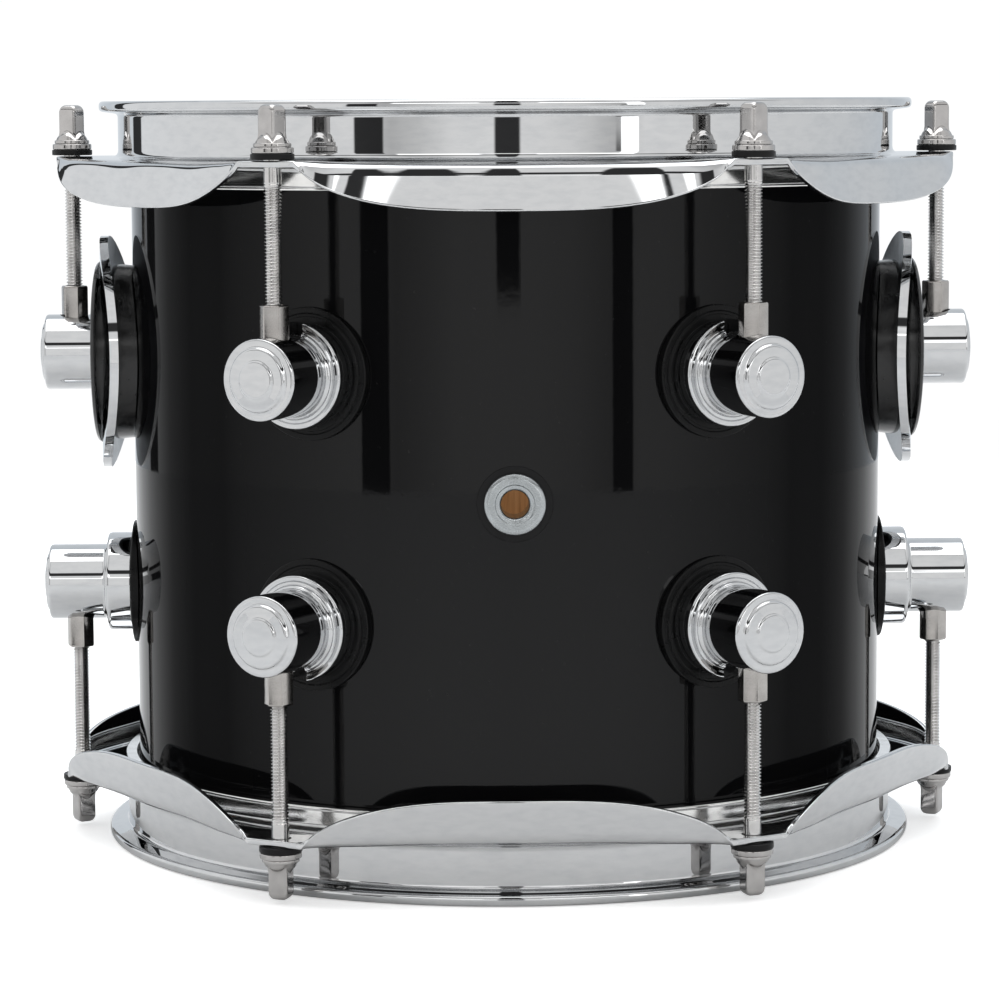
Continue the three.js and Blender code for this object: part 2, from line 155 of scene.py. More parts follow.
def material(name, colour, roughness, metallic=0.0, **sockets):
    made = bpy.data.materials.new(name)
    made.use_nodes = True
    shader = made.node_tree.nodes["Principled BSDF"]
    shader.inputs["Base Color"].default_value = (*colour, 1)
    shader.inputs["Roughness"].default_value = roughness
    shader.inputs["Metallic"].default_value = metallic
    for key, value in sockets.items():
        shader.inputs[key.replace("_", " ")].default_value = value
    return made, Graph(made.node_tree), shader


def drive(graph, shader, **sources):
    for key, source in sources.items():
        graph.tree.links.new(source, shader.inputs[key.replace("_", " ")])


def chrome_material(name, waviness, dust):
    made, g, shader = material(name, (0.6, 0.607, 0.615), 0.03, 1.0)
    wipe = g.noise(6, 5, (1, 1, 3))
    drive(g, shader, Roughness=g.remap(wipe, 0.35, 0.8, 0.012, dust))
    clean, hazed = (0.62, 0.626, 0.632, 1), (0.55, 0.56, 0.572, 1)
    drive(g, shader, Base_Color=g.mix(g.remap(wipe, 0.4, 0.8), clean, hazed))
    drive(g, shader, Normal=g.bump(g.noise(14, 1.5), waviness))
    return made


def satin_material(name, colour, rough, stretch, depth):
    """Plated or bare steel with fine lines: stretch is small along the lines."""
    made, g, shader = material(name, colour, rough, 1.0)
    lines = g.noise(0.35, 4, stretch)
    cloud = g.noise(5, 3)
    drive(g, shader, Roughness=g.remap(lines, 0.3, 0.7, rough * 0.7, rough * 1.4))
    dull = tuple(0.84 * c for c in colour)
    drive(g, shader, Base_Color=g.mix(g.remap(cloud, 0.35, 0.7), (*colour, 1), (*dull, 1)))
    drive(g, shader, Normal=g.bump(lines, depth))
    return made


def lacquer_material():
    """Deep black gloss. Its reflection fades at middling angles, as behind a polarising filter."""
    made, g, shader = material("black_lacquer", (0.0035, 0.0035, 0.0038), 0.02, IOR=1.5)
    facing = g.node("ShaderNodeLayerWeight", {"Blend": 0.5}).outputs["Facing"]
    level = g.ramp(facing, [
        (0.0, 0.25), (0.1, 0.22), (0.22, 0.13), (0.36, 0.03), (0.47, 0.014),
        (0.58, 0.02), (0.72, 0.06), (0.85, 0.13), (1.0, 0.32),
    ])
    drive(g, shader, Specular_IOR_Level=level)
    specks = g.remap(g.noise(1.1, 1), 0.76, 0.8)
    drive(g, shader, Roughness=g.remap(g.noise(30, 4), 0.3, 0.75, 0.016, 0.045))
    drive(g, shader, Base_Color=g.mix(specks, (0.0032, 0.0032, 0.0035, 1), (0.012, 0.012, 0.012, 1)))
    drive(g, shader, Normal=g.bump(g.noise(3.5, 2), 0.0035))
    return made


def rubber_material(name, tone, rough, gloss=0.22):
    made, g, shader = material(name, (tone, tone, tone), rough, IOR=1.4, Specular_IOR_Level=gloss)
    cloud = g.noise(4, 4)
    dark, bloom = (tone * 0.7, tone * 0.7, tone * 0.7, 1), (tone * 1.5, tone * 1.5, tone * 1.6, 1)
    drive(g, shader, Roughness=g.remap(cloud, 0.3, 0.7, rough - 0.08, rough + 0.12))
    drive(g, shader, Base_Color=g.mix(cloud, dark, bloom))
    drive(g, shader, Normal=g.bump(g.noise(0.25, 3), 0.02))
    return made


def maple_material():
    made, g, shader = material("maple_ply", (0.62, 0.36, 0.17), 0.45, IOR=1.45)
    grain = g.noise(1.6, 6, (1, 1, 0.05), 0.6)
    figure = g.noise(9, 3, (1, 1, 0.35))
    tone = g.ramp(grain, [
        (0.3, (0.34, 0.17, 0.065, 1)), (0.5, (0.6, 0.36, 0.17, 1)), (0.72, (0.74, 0.49, 0.27, 1)),
    ])
    drive(g, shader, Base_Color=g.mix(g.math("MULTIPLY", figure, 0.35), tone, (0.42, 0.22, 0.09, 1)))
    drive(g, shader, Roughness=g.remap(grain, 0.3, 0.7, 0.38, 0.6))
    drive(g, shader, Normal=g.bump(grain, 0.05))
    return made


def coated_film_material():
    made, g, shader = material("coated_film", (0.66, 0.66, 0.64), 0.5, IOR=1.45)
    grit = g.noise(0.5, 3)
    cloud = g.noise(22, 4)
    light, dull = (0.675, 0.675, 0.655, 1), (0.64, 0.64, 0.62, 1)
    drive(g, shader, Base_Color=g.mix(g.remap(cloud, 0.3, 0.7), light, dull))
    drive(g, shader, Roughness=g.remap(grit, 0.35, 0.65, 0.4, 0.62))
    drive(g, shader, Normal=g.bump(grit, 0.035))
    return made


def clear_film_material():
    made, g, shader = material("clear_film", (0.84, 0.86, 0.87), 0.06, IOR=1.5, Alpha=0.32)
    cloud = g.noise(18, 3)
    drive(g, shader, Roughness=g.remap(cloud, 0.3, 0.7, 0.04, 0.12))
    drive(g, shader, Base_Color=g.mix(cloud, (0.8, 0.83, 0.84, 1), (0.88, 0.89, 0.9, 1)))
    drive(g, shader, Normal=g.bump(g.noise(30, 2), 0.03))
    return made


CHROME = chrome_material("chrome_plate", 0.004, 0.035)
LUG_CHROME = chrome_material("lug_chrome", 0.003, 0.035)
STEEL = satin_material("rod_steel", (0.68, 0.67, 0.66), 0.15, (1, 1, 6), 0.003)
NICKEL = satin_material("satin_nickel", (0.46, 0.44, 0.42), 0.18, (0.6, 0.6, 0.6), 0.0015)
HEAD_NICKEL = satin_material("polished_nickel", (0.5, 0.485, 0.475), 0.1, (1, 1, 0.3), 0.0012)
# The band's inner faces: a rougher chrome finish, with a brighter, bluish colour that is a painted
# reflection of a blue-white backdrop.
DULL_CHROME_PAINTED_REFLECTION = satin_material("dull_chrome_painted_reflection", (0.74, 0.77, 0.8), 0.34, (3, 3, 0.4), 0.003)
ALUMINIUM = satin_material("flesh_hoop_aluminium", (0.86, 0.855, 0.84), 0.13, (0.02, 0.02, 3), 0.001)
ZINC = satin_material("vent_zinc", (0.45, 0.475, 0.485), 0.25, (3, 0.4, 3), 0.004)
LACQUER = lacquer_material()
RUBBER = rubber_material("black_rubber", 0.004, 0.3)
GLOSS_RUBBER = rubber_material("moulded_rubber", 0.009, 0.18, 0.7)
NYLON = rubber_material("black_washer", 0.009, 0.36)
MAPLE = maple_material()
COATED = coated_film_material()
CLEAR = clear_film_material()


# ---- mesh building, in mm ----
MOST_OF_EDGE = 0.46                    # how far along an edge a rounded corner may reach
HOLD_SHARE, HOLD_MOST = 0.03, 0.12     # how far beyond a curve its holding point sits


def fillet(points, steps=5, closed=True):
    """Rounds a polyline of (x, y, cut) corners: each corner starts and ends its curve cut mm away.
    A point just beyond each end of a curve keeps the flat beside it flat when shaded."""
    out = []
    count = len(points)
    for i, (x, y, cut) in enumerate(points):
        corner = Vector((x, y))
        if cut == 0 or (not closed and i in (0, count - 1)):
            out.append((x, y))
            continue
        back = Vector(points[i - 1][:2]) - corner
        ahead = Vector(points[(i + 1) % count][:2]) - corner
        near = corner + back.normalized() * min(cut, MOST_OF_EDGE * back.length)
        far = corner + ahead.normalized() * min(cut, MOST_OF_EDGE * ahead.length)
        out.append(tuple(near + back.normalized() * min(HOLD_MOST, HOLD_SHARE * back.length)))
        for k in range(steps + 1):
            t = k / steps
            at = near * (1 - t) ** 2 + corner * 2 * t * (1 - t) + far * t ** 2
            out.append((at.x, at.y))
        out.append(tuple(far + ahead.normalized() * min(HOLD_MOST, HOLD_SHARE * ahead.length)))
    return out


def mesh_from(name, points, faces, materials, sharp=35):
    mesh = bpy.data.meshes.new(name)
    mesh.from_pydata([(x * MM, y * MM, z * MM) for x, y, z in points], [], faces)
    mesh.update()
    for each in materials:
        mesh.materials.append(each)
    smooth(mesh, sharp)
    return mesh


def smooth(mesh, sharp=35):
    mesh.shade_smooth()
    mesh.set_sharp_from_angle(angle=math.radians(sharp))


def grid(name, rings, materials, closed=True, sharp=35, caps=False):
    """Skins equal rings of points. Rings run counterclockwise round the axis that they advance along."""
    around = len(rings[0])
    points = [point for ring in rings for point in ring]
    faces = []
    rows = len(rings) if closed else len(rings) - 1
    for i in range(rows):
        a, b = i * around, ((i + 1) % len(rings)) * around
        for j in range(around):
            k = (j + 1) % around
            faces.append((a + j, a + k, b + k, b + j))
    if caps:
        faces.append(tuple(reversed(range(around))))
        faces.append(tuple(range((len(rings) - 1) * around, len(rings) * around)))
    return mesh_from(name, points, faces, materials, sharp)


def circle(radius, height, segments):
    turns = [2 * math.pi * k / segments for k in range(segments)]
    return [(radius * math.cos(a), radius * math.sin(a), height) for a in turns]


def turned(name, profile, materials, segments=96, closed=True, sharp=35):
    """A solid turned about Z from (radius, height) points, counterclockwise; an open one is capped."""
    rings = [circle(radius, height, segments) for radius, height in profile]
    return grid(name, rings, materials, closed, sharp, caps=not closed)


def turned_x(name, profile, materials, segments=96, closed=True, sharp=35):
    """The same about +X, from (distance, radius) points that run away from the axis first."""
    heights = [(radius, along) for along, radius in profile]
    mesh = turned(name, heights, materials, segments, closed, sharp)
    mesh.transform(Matrix.Rotation(math.pi / 2, 4, "Y"))
    return mesh


def cylinder(radius, low, high, axis="Z", centre=(0, 0, 0), segments=64):
    mesh = turned("cutter", [(radius, low), (radius, high)], [], segments, closed=False)
    turn = {"Z": Matrix.Identity(4), "X": Matrix.Rotation(math.pi / 2, 4, "Y"),
            "Y": Matrix.Rotation(-math.pi / 2, 4, "X")}[axis]
    mesh.transform(Matrix.Translation([c * MM for c in centre]) @ turn)
    return mesh


def box_mesh(low, high, materials=()):
    ends = list(zip(low, high))
    corners = [(x, y, z) for z in ends[2] for y in ends[1] for x in ends[0]]
    faces = [(0, 2, 3, 1), (4, 5, 7, 6), (0, 1, 5, 4), (1, 3, 7, 5), (3, 2, 6, 7), (2, 0, 4, 6)]
    return mesh_from("box", corners, faces, materials)


def evaluated(mesh, modify):
    """The mesh after the modifiers that modify() puts on it."""
    carrier = bpy.data.objects.new("carrier", mesh)
    bpy.context.scene.collection.objects.link(carrier)
    modify(carrier)
    graph = bpy.context.evaluated_depsgraph_get()
    result = bpy.data.meshes.new_from_object(carrier.evaluated_get(graph))
    bpy.data.objects.remove(carrier)
    return result


def combine(mesh, other, operation="DIFFERENCE", sharp=35):
    tool = bpy.data.objects.new("tool", other)
    bpy.context.scene.collection.objects.link(tool)

    def modify(carrier):
        step = carrier.modifiers.new("combine", "BOOLEAN")
        step.object, step.operation, step.solver = tool, operation, "EXACT"

    result = evaluated(mesh, modify)
    bpy.data.objects.remove(tool)
    smooth(result, sharp)
    return result


def soften(mesh, width, segments=3, angle=40):
    def modify(carrier):
        step = carrier.modifiers.new("soften", "BEVEL")
        step.width, step.segments = width * MM, segments
        step.limit_method, step.angle_limit = "ANGLE", math.radians(angle)
        step.harden_normals = True

    return evaluated(mesh, modify)


BASE = Matrix.Translation((0, 0, MID * MM))


def station(azimuth, upper=True):
    """Where a station's pieces go: they are built pointing along +X, with heights from the mid plane."""
    half = Matrix.Identity(4) if upper else Matrix.Rotation(math.pi, 4, "X")
    turn = (azimuth if upper else 180 - azimuth) - 90
    return BASE @ half @ Matrix.Rotation(math.radians(turn), 4, "Z")


def add(name, mesh, body="drum", nodes=(), matrix=BASE):
    piece = bpy.data.objects.new(name, mesh)
    bpy.context.scene.collection.objects.link(piece)
    piece.matrix_world = matrix
    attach(piece, body)
    if nodes:
        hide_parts(*nodes)
    return piece


# ---- shell ----
def shell_mesh():
    top, side, inside = HALF_DEPTH, SHELL_RADIUS, SHELL_INSIDE
    profile = fillet([
        (inside, -top + 5, 1), (side - 2.6, -top, 0.4), (side - 1.6, -top, 0.5), (side, -top + 1.6, 0.8),
        (side, top - 1.6, 0.8), (side - 1.6, top, 0.5), (side - 2.6, top, 0.4), (inside, top - 5, 1),
    ], 4)
    mesh = turned("shell", profile, [LACQUER, MAPLE], 360, sharp=30)
    mesh = combine(mesh, cylinder(VENT_HOLE, -140, -110, "Y", segments=64), sharp=30)
    for face in mesh.polygons:
        outward = Vector((face.center.x, face.center.y, 0)).normalized().dot(face.normal)
        on_side = math.hypot(face.center.x, face.center.y) > (side - 0.6) * MM
        face.material_index = 0 if outward > 0.5 and on_side else 1
    return mesh


add("lacquered_shell", shell_mesh(), nodes=["shell"])


# ---- heads ----
def film_mesh(film):
    inner, outer, top = SHELL_RADIUS + 0.3, SHELL_RADIUS + 0.7, HALF_DEPTH + 0.7
    foot = top - 9.5
    outside = fillet([(outer, foot, 0), (outer, top, 1.6), (0.3, top, 0)], 6, closed=False)
    inside = fillet([(0.3, top - 0.4, 0), (inner, top - 0.4, 1.2), (inner, foot, 0)], 6, closed=False)
    return turned("film", outside + inside, [film], 192)


def flesh_hoop_mesh():
    inner, outer, foot, top = SHELL_RADIUS + 1, 130.3, 95.5, 102.6
    return turned("flesh_hoop", fillet([
        (inner, foot, 0.3), (outer - 0.25, foot, 0.35), (outer, foot + 0.45, 0.3),
        (outer - 0.1, foot + 0.95, 0.2), (outer - 0.45, foot + 1.15, 0.2),
        (outer - 0.45, top - 1.3, 0.5), (outer - 1.2, top, 0.6), (inner, top, 0.5),
    ], 4), [ALUMINIUM], 192, sharp=50)


def wing_share(from_ear):
    """How far the flange has turned down between two ears: 0 at an ear, 1 midway to the next."""
    half = HOOP["ear_half_angle"]
    u = max(0.0, (from_ear - half) / (STATION_ANGLE / 2 - half))
    drop = (1 - (1 - u) ** HOOP["drop_power"]) ** HOOP["drop_ease"]
    return drop, 1 - (1 - (1 - u) ** HOOP["flare_ease"]) ** HOOP["flare_power"]


def hoop_section(from_ear):
    drop, flare = wing_share(from_ear)
    sheet = HOOP["sheet"]
    plane = HOOP["ear_plane"]
    crest = plane - HOOP["crest_drop"] * drop
    edge_radius = HOOP["wing_radius"] + (HOOP["ear_radius"] - HOOP["wing_radius"]) * flare
    corner = Vector((edge_radius - HOOP["lean"], crest))
    edge = Vector((edge_radius, crest - HOOP["wing_drop"] * drop))
    down = (edge - corner).normalized()
    inward = Vector((down.y, -down.x)) * sheet
    under = corner + (inward + Vector((0, -sheet))) / (1 + down.x)
    reach = min(HOOP["corner"], (edge - corner).length / 2)
    lip, top, rim = HOOP["lip"], HOOP["top"], HOOP["rim"]
    return fillet([
        (HOOP["inner"], plane - sheet, 2.6), (under.x, under.y, max(0.8, reach - sheet)),
        (edge.x + inward.x, edge.y + inward.y, 0.6), (edge.x, edge.y, 0.6), (corner.x, corner.y, reach),
        (HOOP["band"], plane, 2.2), (HOOP["band"], lip - 0.9, 1.2), (rim, lip, 1.3), (rim, top, 1.5),
        (HOOP["inner"], top, 1.6),
    ], 6)


def hoop_mesh():
    rings = []
    steps = 480
    for k in range(steps):
        angle = 360 * k / steps
        past = angle % STATION_ANGLE
        a = math.radians(angle)
        section = hoop_section(min(past, STATION_ANGLE - past))
        rings.append([(r * math.cos(a), r * math.sin(a), z) for r, z in section])
    mesh = grid("hoop", [list(reversed(ring)) for ring in rings], [CHROME], sharp=50)
    for ear in range(len(PLACES)):
        bit = cylinder(ROD_HOLE, 95, 112, segments=40, centre=(ROD_CIRCLE, 0, 0))
        bit.transform(Matrix.Rotation(math.radians(STATION_ANGLE * ear), 4, "Z"))
        mesh = combine(mesh, bit, sharp=50)
    return mesh


# ---- lug stations ----
def lug_mesh():
    seat = 127
    body = turned_x("lug", fillet([
        (112.8, 0.2, 0), (112.8, 5.5, 0.8), (117.9, 5.5, 0.2), (117.9, 3, 0.1), (seat, 3, 0.1),
        (seat, 16.6, 0.3), (135.3, 16.6, 1.3), (135.3, 14.9, 0.25), (134.9, 14.6, 0.2),
        (135.0, 13.7, 0.3), (135.9, 13.3, 0.4), (136.3, 12.6, 0.6), (155.2, 12.6, 1.0),
        (155.2, 10.1, 0.45), (156.15, 9.4, 0.55), (156.3, 6.1, 0.35), (156.8, 5.5, 0.4), (156.9, 0.2, 0),
    ], 5, closed=False), [LUG_CHROME], 128, closed=False, sharp=40)
    well = cylinder(WELL_RADIUS, -6, 30, segments=48, centre=(ROD_CIRCLE, 0, 0))
    notch = box_mesh((125, -3.6, 12.2), (136.3, 3.6, 20))
    mesh = combine(combine(body, well, sharp=40), notch, sharp=40)
    mesh.transform(Matrix.Translation((0, 0, LUG_HEIGHT * MM)))
    return mesh


def nut_mesh():
    corner, foot, top = NUT["flats"] / math.sqrt(3), NUT["foot"], NUT["top"]
    turns = [math.radians(60 * k + 30) for k in range(6)]
    rings = []
    for scale, height in ((0.95, foot), (1, foot + 0.4), (1, top - 0.45), (0.93, top)):
        rings.append([(corner * scale * math.cos(a), corner * scale * math.sin(a), height) for a in turns])
    hexagon = grid("swivel_nut", rings, [NICKEL], closed=False, caps=True, sharp=20)
    hexagon = soften(hexagon, 0.22, 2, 15)
    return combine(hexagon, cylinder(NUT["bore"], 30, 70, segments=40), sharp=20)


def rod_mesh():
    """The threaded length and the plain shank, about the rod's own axis."""
    segments, per_turn = 32, 8
    count = round((THREAD["high"] - THREAD["low"]) / THREAD["pitch"] * per_turn)
    rings = []
    for i in range(count + 1):
        height = THREAD["low"] + i * THREAD["pitch"] / per_turn
        fade = min(1.0, (count - i) / (2 * per_turn))
        ring = []
        for k in range(segments):
            phase = (height / THREAD["pitch"] - k / segments) % 1
            groove = 1 - abs(2 * phase - 1)
            radius = ROD_RADIUS - THREAD["depth"] * fade * min(1.0, max(0.0, groove * 1.2 - 0.1))
            a = 2 * math.pi * k / segments
            ring.append((radius * math.cos(a), radius * math.sin(a), height))
        rings.append(ring)
    rings += [circle(ROD_RADIUS, height, segments) for height in (THREAD["high"] + 0.3, WASHER_FOOT + 3)]
    return grid("rod", rings, [STEEL], closed=False, caps=True, sharp=70)


def head_mesh():
    """A round blank with a low flared foot and a domed top; four flats end in scallops above the foot."""
    rings = []
    segments, steps = 96, 60
    tall = HEAD_TOP - HEAD_FOOT
    for i in range(steps + 1):
        rise = tall * i / steps
        blank = 4.25 + 1.1 * max(0.0, 1 - rise / 3.2) ** 1.4
        dome = max(0.0, (rise - (tall - 2.6)) / 2.6)
        blank -= 2.6 * (1 - math.sqrt(max(0.0, 1 - (0.985 * dome) ** 2)))
        flat = 3.15 - 2.2 * (1 - math.sqrt(max(0.0, 1 - (0.97 * dome) ** 3)))
        ring = []
        for k in range(segments):
            a = 2 * math.pi * k / segments
            across = max(abs(math.cos(a)), abs(math.sin(a)))
            along = min(abs(math.cos(a)), abs(math.sin(a))) / across * flat
            scallop = 1.3 + 2.3 * (1 - min(1.0, (along / 3.2) ** 2))
            square = flat / across + max(0.0, scallop - rise) ** 2 / 2.2
            radius = (blank ** -22 + square ** -22) ** (-1 / 22)
            ring.append((radius * math.cos(a), radius * math.sin(a), HEAD_FOOT + rise))
        rings.append(ring)
    return grid("head", rings, [HEAD_NICKEL], closed=False, caps=True, sharp=50)


def ring_mesh(name, inner, outer, foot, top, cut, look):
    return turned(name, fillet([
        (inner, foot, 0.1), (outer, foot, cut), (outer, top, cut), (inner, top, 0.1),
    ], 4), [look], 64)


def skirted(name, profile, look, segments=96):
    """Turned about +X like the others, with its foot points laid on the shell's curve."""
    rings = []
    for along, radius in profile:
        ring = []
        for k in range(segments):
            a = 2 * math.pi * k / segments
            y, z = radius * math.sin(a), -radius * math.cos(a)
            seat = math.sqrt((SHELL_RADIUS + 0.3) ** 2 - y ** 2)
            ring.append((seat if along is None else max(along, seat), y, z + LUG_HEIGHT))
        rings.append(ring)
    return grid(name, [list(reversed(ring)) for ring in rings], [look], sharp=50)


def gasket_mesh():
    """A thin disc with a shallow groove round its face."""
    radius, floor_of_groove = 20.7, LUG_SEAT - 0.35
    face = fillet([
        (123, radius, 0), (LUG_SEAT, radius, 0.5), (LUG_SEAT, 18.9, 0.15), (floor_of_groove, 18.6, 0.15),
        (floor_of_groove, 17.9, 0.15), (LUG_SEAT, 17.6, 0.15), (LUG_SEAT, 4, 0),
    ], 4, closed=False)
    return skirted("gasket", [(None, 4), (None, radius)] + face[1:], RUBBER)


def grommet_mesh():
    """A spool whose waist passes through the eyelet."""
    low, high = EYELET["inner"] - 0.3, EYELET["outer"] + 0.3
    face = fillet([
        (125, 29.2, 0), (low - 0.6, 29.6, 2.2), (low - 0.6, 25.6, 0.4), (low, 24.7, 0.3),
        (high, 24.7, 0.2), (high, 30.6, 0.3), (138, 29.6, 1.6), (138, 17.6, 1.4),
        (LUG_SEAT, 16.9, 0.4), (LUG_SEAT, 4, 0),
    ], 5, closed=False)
    return skirted("grommet", [(None, 4), (None, 29)] + face[1:], GLOSS_RUBBER, 128)


meshes = {
    "lug": lug_mesh(),
    "nut": nut_mesh(),
    "rod": rod_mesh(),
    "head": head_mesh(),
    "collar": ring_mesh("collar", 1, 5.8, COLLAR_FOOT, HEAD_FOOT + 0.1, 0.35, HEAD_NICKEL),
    "metal_washer": ring_mesh("metal_washer", 3, 6.5, METAL_FOOT, COLLAR_FOOT - 0.05, 0.45, HEAD_NICKEL),
    "black_washer": ring_mesh("black_washer", 3, 6.7, WASHER_FOOT, METAL_FOOT - 0.05, 0.4, NYLON),
    "gasket": gasket_mesh(),
    "grommet": grommet_mesh(),
    "hoop": hoop_mesh(),
    "flesh_hoop": flesh_hoop_mesh(),
}
HEAD_TURNS = {
    "front_right": 12, "right": 25, "back_right": 60, "back_left": 5, "left": -27, "front_left": -11,
}
NUT_FACING = 349                       # the azimuth that one flat of every swivel nut faces


def add_station(row, place, azimuth):
    upper = row == "upper"
    name, body = f"{row}_{place}", f"{row}_tension_rod_{place}"
    matrix = station(azimuth, upper)
    on_rod = matrix @ Matrix.Translation((ROD_CIRCLE * MM, 0, 0))
    head_turn = on_rod @ Matrix.Rotation(math.radians(HEAD_TURNS[place]), 4, "Z")
    nut_turn = NUT_FACING - azimuth if upper else azimuth - NUT_FACING
    facing = on_rod @ Matrix.Rotation(math.radians(nut_turn), 4, "Z")
    add(f"{name}_lug_body", meshes["lug"], nodes=[f"{row}_lug_{place}"], matrix=matrix)
    add(f"{name}_nut", meshes["nut"], nodes=[f"{row}_swivel_nut_{place}"], matrix=facing)
    add(f"{name}_rod_thread", meshes["rod"], body, [body], on_rod)
    add(f"{name}_rod_head", meshes["head"], body, matrix=head_turn)
    for part, look in (("collar", "rod_steel"), ("metal_washer", "nickel"), ("black_washer", "rubber")):
        add(f"{name}_{part}", meshes[part], body, matrix=on_rod)
    if upper and place in ("left", "right"):
        piece, part, node = f"{place}_mount_cushion", "grommet", f"mount_grommet_{place}"
    else:
        piece, part, node = f"{name}_gasket", "gasket", f"{row}_lug_gasket_{place}"
    add(piece, meshes[part], nodes=[node], matrix=matrix)


ENDS = (("upper", "batter", "top", COATED), ("lower", "resonant", "bottom", CLEAR))
for row, side, hoop, film in ENDS:
    flip = station(90, row == "upper")
    add(f"{side}_skin", film_mesh(film), nodes=[f"{side}_head_film"], matrix=flip)
    add(f"{side}_ring", meshes["flesh_hoop"],
        nodes=[f"{side}_flesh_hoop"], matrix=flip)
    add(f"{hoop}_steel_hoop", meshes["hoop"], nodes=[f"{hoop}_hoop"], matrix=flip)
    for place, azimuth in PLACES.items():
        add_station(row, place, azimuth)


# ---- vent ----
def vent_mesh():
    seat = SHELL_RADIUS + 0.3
    return turned_x("vent", fillet([
        (113.6, 4.3, 0.3), (113.6, 8, 0.5), (117.8, 8, 0.3), (117.8, 5.4, 0.2), (seat, 5.4, 0.1),
        (seat, 9.5, 0.2), (127.1, 9.5, 0.6), (127.7, 8.2, 0.3), (127.7, 6.3, 0.3), (127.2, 5.9, 0.2),
        (127.1, 5.0, 0.3), (126.4, 4.3, 0.6),
    ], 4), [ZINC], 96, sharp=45)


# A thin black disc laid on the shell round the vent, a little wider than the vent's flange.
def vent_dark_disc_mesh():
    rings = []
    for lift, radius in ((0.02, 5.7), (0.02, 11.75), (0.26, 11.6), (0.26, 5.7)):
        ring = []
        for k in range(96):
            a = 2 * math.pi * k / 96
            y, z = radius * math.sin(a), -radius * math.cos(a)
            ring.append((math.sqrt((SHELL_RADIUS + lift) ** 2 - y ** 2), y, z))
        rings.append(list(reversed(ring)))
    return grid("vent_dark_disc", rings, [NYLON])


FRONT = BASE @ Matrix.Rotation(-math.pi / 2, 4, "Z")
add("vent_eyelet", vent_mesh(), nodes=["vent_grommet"], matrix=FRONT)
add("vent_dark_disc", vent_dark_disc_mesh(), matrix=FRONT)


# ---- suspension mount ----
def band_mesh():
    """A sheet ring cut to an outline of eyelets, the stub and riser behind each, a strip and a pad."""
    inner, outer, low, high = EYELET["inner"], EYELET["outer"], -50, 90
    profile = [(inner, low), (outer, low), (outer, high), (inner, high)]
    ring = turned("band", profile, [CHROME, DULL_CHROME_PAINTED_REFLECTION], 360)
    lift = LUG_HEIGHT
    outline = cylinder(EYELET["radius"], -170, 170, "X", (0, 0, lift), 120)
    for low_y, high_y, low_z, high_z in ((0, 76, -12, 12), (58, 76, -12, 39), (58, 170, 23, 39)):
        strip = box_mesh((-170, low_y, lift + low_z), (170, high_y, lift + high_z))
        outline = combine(outline, strip, "UNION")
    pad = soften(box_mesh((-26, 100, -34), (26, 170, lift + 37)), 8, 6)
    outline = combine(outline, pad, "UNION")
    hole = cylinder(EYELET["hole"], -170, 170, "X", (0, 0, lift), 120)
    mesh = soften(combine(combine(ring, outline, "INTERSECT"), hole), 0.45, 3, 50)
    for face in mesh.polygons:
        outward = Vector((face.center.x, face.center.y, 0)).normalized().dot(face.normal)
        # Inward faces take the rougher chrome whose brighter, bluish colour is a painted reflection.
        face.material_index = 1 if outward < -0.9 else 0
    return mesh


def bracket_mesh():
    plate = soften(box_mesh((-21, 60, -28), (21, 145, 28), [CHROME]), 4, 5)
    boss = cylinder(14, -19, 19, "Z", (0, BRACKET_AXIS, 0), 96)
    web = box_mesh((-14, 140, -19), (14, BRACKET_AXIS, 19))
    nut_boss = cylinder(8, BRACKET_AXIS, 177, "Y", segments=64)
    solid = combine(combine(combine(plate, boss, "UNION"), web, "UNION"), nut_boss, "UNION")
    cuts = (
        cylinder(6.6, -60, 60, "Z", (0, BRACKET_AXIS, 0), 64),
        box_mesh((-5, BRACKET_AXIS, -9.3), (5, 169, 60)),
        cylinder(3.3, BRACKET_AXIS, 185, "Y", segments=40),
        cylinder(EYELET["outer"] + 0.3, -80, 80, "Z", segments=360),
    )
    for cut in cuts:
        solid = combine(solid, cut)
    return soften(solid, 0.7, 3, 40)


def wing_bolt_mesh():
    reach, half = 15, 2.3
    screw = cylinder(3, 169, 179, "Y", segments=40)
    hub = combine(screw, cylinder(6.5, 177.4, 187, "Y", segments=64), "UNION")
    solid = combine(hub, box_mesh((-reach, 181, -half), (reach, 189, half)), "UNION")
    for side in (-1, 1):
        solid = combine(solid, cylinder(5, -half, half, "Z", (reach * side, 187, 0), 64), "UNION")
    solid.materials.clear()
    solid.materials.append(CHROME)
    return soften(solid, 0.7, 3, 40)


def button_mesh():
    return turned("button", fillet([
        (1.3, 0.9, 0.1), (1.3, -0.4, 0), (3.6, -0.4, 0), (3.6, 0.4, 0.5), (2.2, 1.7, 0.5),
        (1.4, 1.7, 0.2),
    ], 4), [HEAD_NICKEL], 48)


MOUNT = BASE @ Matrix.Translation((0, 0, BRACKET_HEIGHT * MM))
add("suspension_band", band_mesh(), nodes=["mount_band"])
add("rod_clamp", bracket_mesh(), nodes=["mount_bracket"], matrix=MOUNT)
jaw = soften(box_mesh((-4.6, 165.5, -9), (4.6, 168.7, 9), [NICKEL]), 0.5)
add("clamp_pad", jaw, "clamp_jaw", ["clamp_jaw"], MOUNT)
add("wing_screw", wing_bolt_mesh(), "wing_bolt", ["wing_bolt"], MOUNT)
button = button_mesh()
for x in (-17, 17):
    for z in (-23.5, 23.5):
        spot = Matrix.Translation((x * MM, 145.2 * MM, z * MM)) @ Matrix.Rotation(-math.pi / 2, 4, "X")
        side_x, side_z = "left" if x < 0 else "right", "low" if z < 0 else "high"
        add(f"clamp_screw_{side_x}_{side_z}", button, matrix=MOUNT @ spot)


